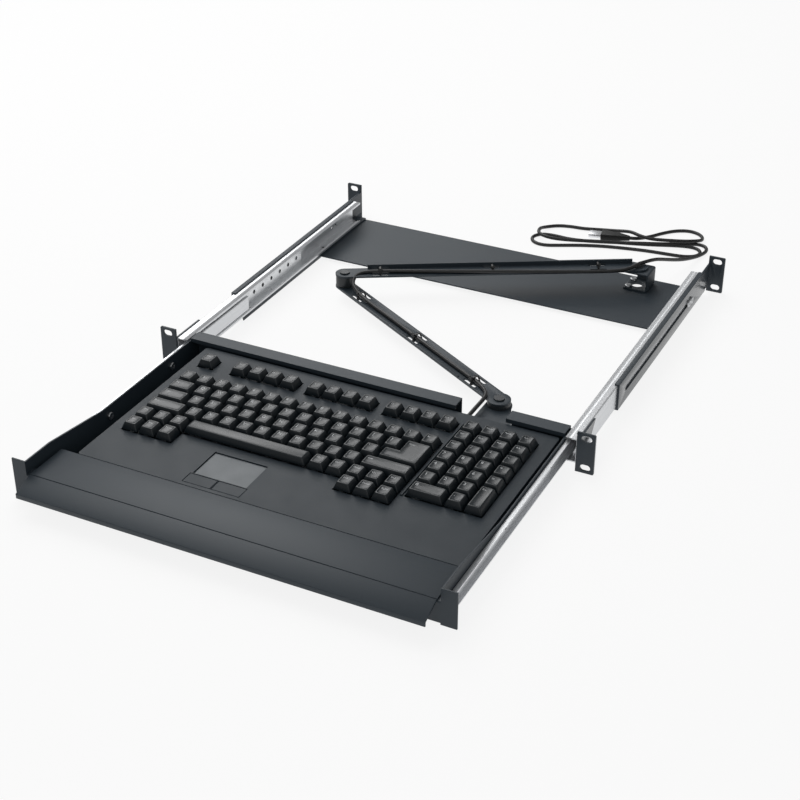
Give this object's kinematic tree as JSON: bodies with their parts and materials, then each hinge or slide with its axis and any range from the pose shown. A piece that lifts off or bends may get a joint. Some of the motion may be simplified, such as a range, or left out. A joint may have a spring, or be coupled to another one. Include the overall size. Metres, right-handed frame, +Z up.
{
  "type": "rackmount keyboard",
  "caption": "Flat rack drawer on ball slides, holding a compact keyboard with touchpad and number pad, with a palm ledge, folding cable arm and a cable.",
  "frame": {"origin": "middle of the footprint, on the surface that the rack ears stand on, drawer pulled out", "axes": "+X to the user's right, +Y to the back of the rack, +Z up"},
  "size_m": [0.4826, 0.8462, 0.0437],
  "materials": {
    "black_paint": "fine powder coat",
    "slide_steel": "zinc plated",
    "bright_steel": "plated",
    "case_plastic": "fine texture",
    "key_plastic": "satin",
    "soft_rubber": "matte",
    "board": "lacquered",
    "cable_black": "satin"
  },
  "bodies": {
    "rack": {"front_bracket_left": "black_paint", "front_bracket_right": "black_paint", "rear_bracket_left": "black_paint", "rear_bracket_right": "black_paint", "slide_outer_left": "slide_steel", "slide_outer_right": "slide_steel", "rear_plate": "black_paint", "arm_bracket": "black_paint", "rack_screws": "bright_steel", "cable_lead": "cable_black", "cable_bundle": "cable_black", "plug_body": "cable_black", "plug_shell": "bright_steel"},
    "cages": {"ball_cages": "bright_steel"},
    "tray": {"tray": "black_paint", "palm_ledge": "black_paint", "slide_inner_left": "slide_steel", "slide_inner_right": "slide_steel", "tray_screws": "bright_steel", "keyboard_base": "case_plastic", "keyboard_top": "case_plastic", "switch_sheet": "soft_rubber", "circuit_board": "board", "touchpad": "case_plastic", "case_screws": "bright_steel", "cable_grommet": "cable_black", "cable_tail": "cable_black", "front_pivot_pin": "bright_steel"},
    "front_link": {"front_link": "black_paint", "ties_front": "cable_black", "cable_front": "cable_black", "elbow_rivet": "bright_steel"},
    "rear_link": {"rear_link": "black_paint", "ties_rear": "cable_black", "cable_rear": "cable_black", "rear_pivot_pin": "bright_steel"},
    "key_escape": {"key_escape": "key_plastic"},
    "keys_function": {"keys_function": "key_plastic"},
    "keys_number_row": {"keys_number_row": "key_plastic"},
    "key_tab": {"key_tab": "key_plastic"},
    "keys_upper_row": {"keys_upper_row": "key_plastic"},
    "key_caps_lock": {"key_caps_lock": "key_plastic"},
    "keys_home_row": {"keys_home_row": "key_plastic"},
    "key_enter": {"key_enter": "key_plastic"},
    "key_shift_left": {"key_shift_left": "key_plastic"},
    "keys_lower_row": {"keys_lower_row": "key_plastic"},
    "key_shift_right": {"key_shift_right": "key_plastic"},
    "keys_modifier": {"keys_modifier": "key_plastic"},
    "key_space": {"key_space": "key_plastic"},
    "keys_bottom_right": {"keys_bottom_right": "key_plastic"},
    "keys_arrow": {"keys_arrow": "key_plastic"},
    "keys_pad": {"keys_pad": "key_plastic"},
    "key_pad_enter": {"key_pad_enter": "key_plastic"},
    "key_pad_zero": {"key_pad_zero": "key_plastic"},
    "key_pad_point": {"key_pad_point": "key_plastic"},
    "touchpad_button_left": {"touchpad_button_left": "case_plastic"},
    "touchpad_button_right": {"touchpad_button_right": "case_plastic"}
  },
  "joints": [
    {"name": "tray_slide", "type": "slide", "parent": "rack", "child": "tray", "axis": [0, 1, 0], "range_m": [0, 0.2665]},
    {"name": "cage_slide", "type": "slide", "parent": "rack", "child": "cages", "axis": [0, 1, 0], "range_m": [0, 0.13325]},
    {"name": "front_link_hinge", "type": "hinge", "parent": "tray", "child": "front_link", "pos_m": [0.1158, 0.0024, 0.0142], "axis": [0, 0, 1], "range_deg": [0, 26.26]},
    {"name": "elbow_hinge", "type": "hinge", "parent": "front_link", "child": "rear_link", "pos_m": [-0.14052, 0.15557, 0.022], "axis": [0, 0, 1], "range_deg": [-51.03, 0]},
    {"name": "key_escape_press", "type": "slide", "parent": "tray", "child": "key_escape", "axis": [0, 0, -1], "range_m": [0, 0.0035], "stiffness_N_per_m": 150, "springref_m": -0.001},
    {"name": "keys_function_press", "type": "slide", "parent": "tray", "child": "keys_function", "axis": [0, 0, -1], "range_m": [0, 0.0035], "stiffness_N_per_m": 1800, "springref_m": -0.001},
    {"name": "keys_number_row_press", "type": "slide", "parent": "tray", "child": "keys_number_row", "axis": [0, 0, -1], "range_m": [0, 0.0035], "stiffness_N_per_m": 2250, "springref_m": -0.001},
    {"name": "key_tab_press", "type": "slide", "parent": "tray", "child": "key_tab", "axis": [0, 0, -1], "range_m": [0, 0.0035], "stiffness_N_per_m": 150, "springref_m": -0.001},
    {"name": "keys_upper_row_press", "type": "slide", "parent": "tray", "child": "keys_upper_row", "axis": [0, 0, -1], "range_m": [0, 0.0035], "stiffness_N_per_m": 1800, "springref_m": -0.001},
    {"name": "key_caps_lock_press", "type": "slide", "parent": "tray", "child": "key_caps_lock", "axis": [0, 0, -1], "range_m": [0, 0.0035], "stiffness_N_per_m": 150, "springref_m": -0.001},
    {"name": "keys_home_row_press", "type": "slide", "parent": "tray", "child": "keys_home_row", "axis": [0, 0, -1], "range_m": [0, 0.0035], "stiffness_N_per_m": 1650, "springref_m": -0.001},
    {"name": "key_enter_press", "type": "slide", "parent": "tray", "child": "key_enter", "axis": [0, 0, -1], "range_m": [0, 0.0035], "stiffness_N_per_m": 150, "springref_m": -0.001},
    {"name": "key_shift_left_press", "type": "slide", "parent": "tray", "child": "key_shift_left", "axis": [0, 0, -1], "range_m": [0, 0.0035], "stiffness_N_per_m": 150, "springref_m": -0.001},
    {"name": "keys_lower_row_press", "type": "slide", "parent": "tray", "child": "keys_lower_row", "axis": [0, 0, -1], "range_m": [0, 0.0035], "stiffness_N_per_m": 1500, "springref_m": -0.001},
    {"name": "key_shift_right_press", "type": "slide", "parent": "tray", "child": "key_shift_right", "axis": [0, 0, -1], "range_m": [0, 0.0035], "stiffness_N_per_m": 150, "springref_m": -0.001},
    {"name": "keys_modifier_press", "type": "slide", "parent": "tray", "child": "keys_modifier", "axis": [0, 0, -1], "range_m": [0, 0.0035], "stiffness_N_per_m": 900, "springref_m": -0.001},
    {"name": "key_space_press", "type": "slide", "parent": "tray", "child": "key_space", "axis": [0, 0, -1], "range_m": [0, 0.0035], "stiffness_N_per_m": 150, "springref_m": -0.001},
    {"name": "keys_bottom_right_press", "type": "slide", "parent": "tray", "child": "keys_bottom_right", "axis": [0, 0, -1], "range_m": [0, 0.0035], "stiffness_N_per_m": 750, "springref_m": -0.001},
    {"name": "keys_arrow_press", "type": "slide", "parent": "tray", "child": "keys_arrow", "axis": [0, 0, -1], "range_m": [0, 0.0035], "stiffness_N_per_m": 450, "springref_m": -0.001},
    {"name": "keys_pad_press", "type": "slide", "parent": "tray", "child": "keys_pad", "axis": [0, 0, -1], "range_m": [0, 0.0035], "stiffness_N_per_m": 3450, "springref_m": -0.001},
    {"name": "key_pad_enter_press", "type": "slide", "parent": "tray", "child": "key_pad_enter", "axis": [0, 0, -1], "range_m": [0, 0.0035], "stiffness_N_per_m": 150, "springref_m": -0.001},
    {"name": "key_pad_zero_press", "type": "slide", "parent": "tray", "child": "key_pad_zero", "axis": [0, 0, -1], "range_m": [0, 0.0035], "stiffness_N_per_m": 150, "springref_m": -0.001},
    {"name": "key_pad_point_press", "type": "slide", "parent": "tray", "child": "key_pad_point", "axis": [0, 0, -1], "range_m": [0, 0.0035], "stiffness_N_per_m": 150, "springref_m": -0.001},
    {"name": "touchpad_button_left_press", "type": "slide", "parent": "tray", "child": "touchpad_button_left", "axis": [0, 0, -1], "range_m": [0, 0.0008], "stiffness_N_per_m": 600, "springref_m": -0.0005},
    {"name": "touchpad_button_right_press", "type": "slide", "parent": "tray", "child": "touchpad_button_right", "axis": [0, 0, -1], "range_m": [0, 0.0008], "stiffness_N_per_m": 600, "springref_m": -0.0005}
  ],
  "couplings": [
    {"joint": "cage_slide", "follows": "tray_slide", "ratio": 0.5},
    {"joint": "front_link_hinge", "follows": "tray_slide", "rad_per_m": 1.7192},
    {"joint": "elbow_hinge", "follows": "tray_slide", "rad_per_m": -3.3415}
  ]
}
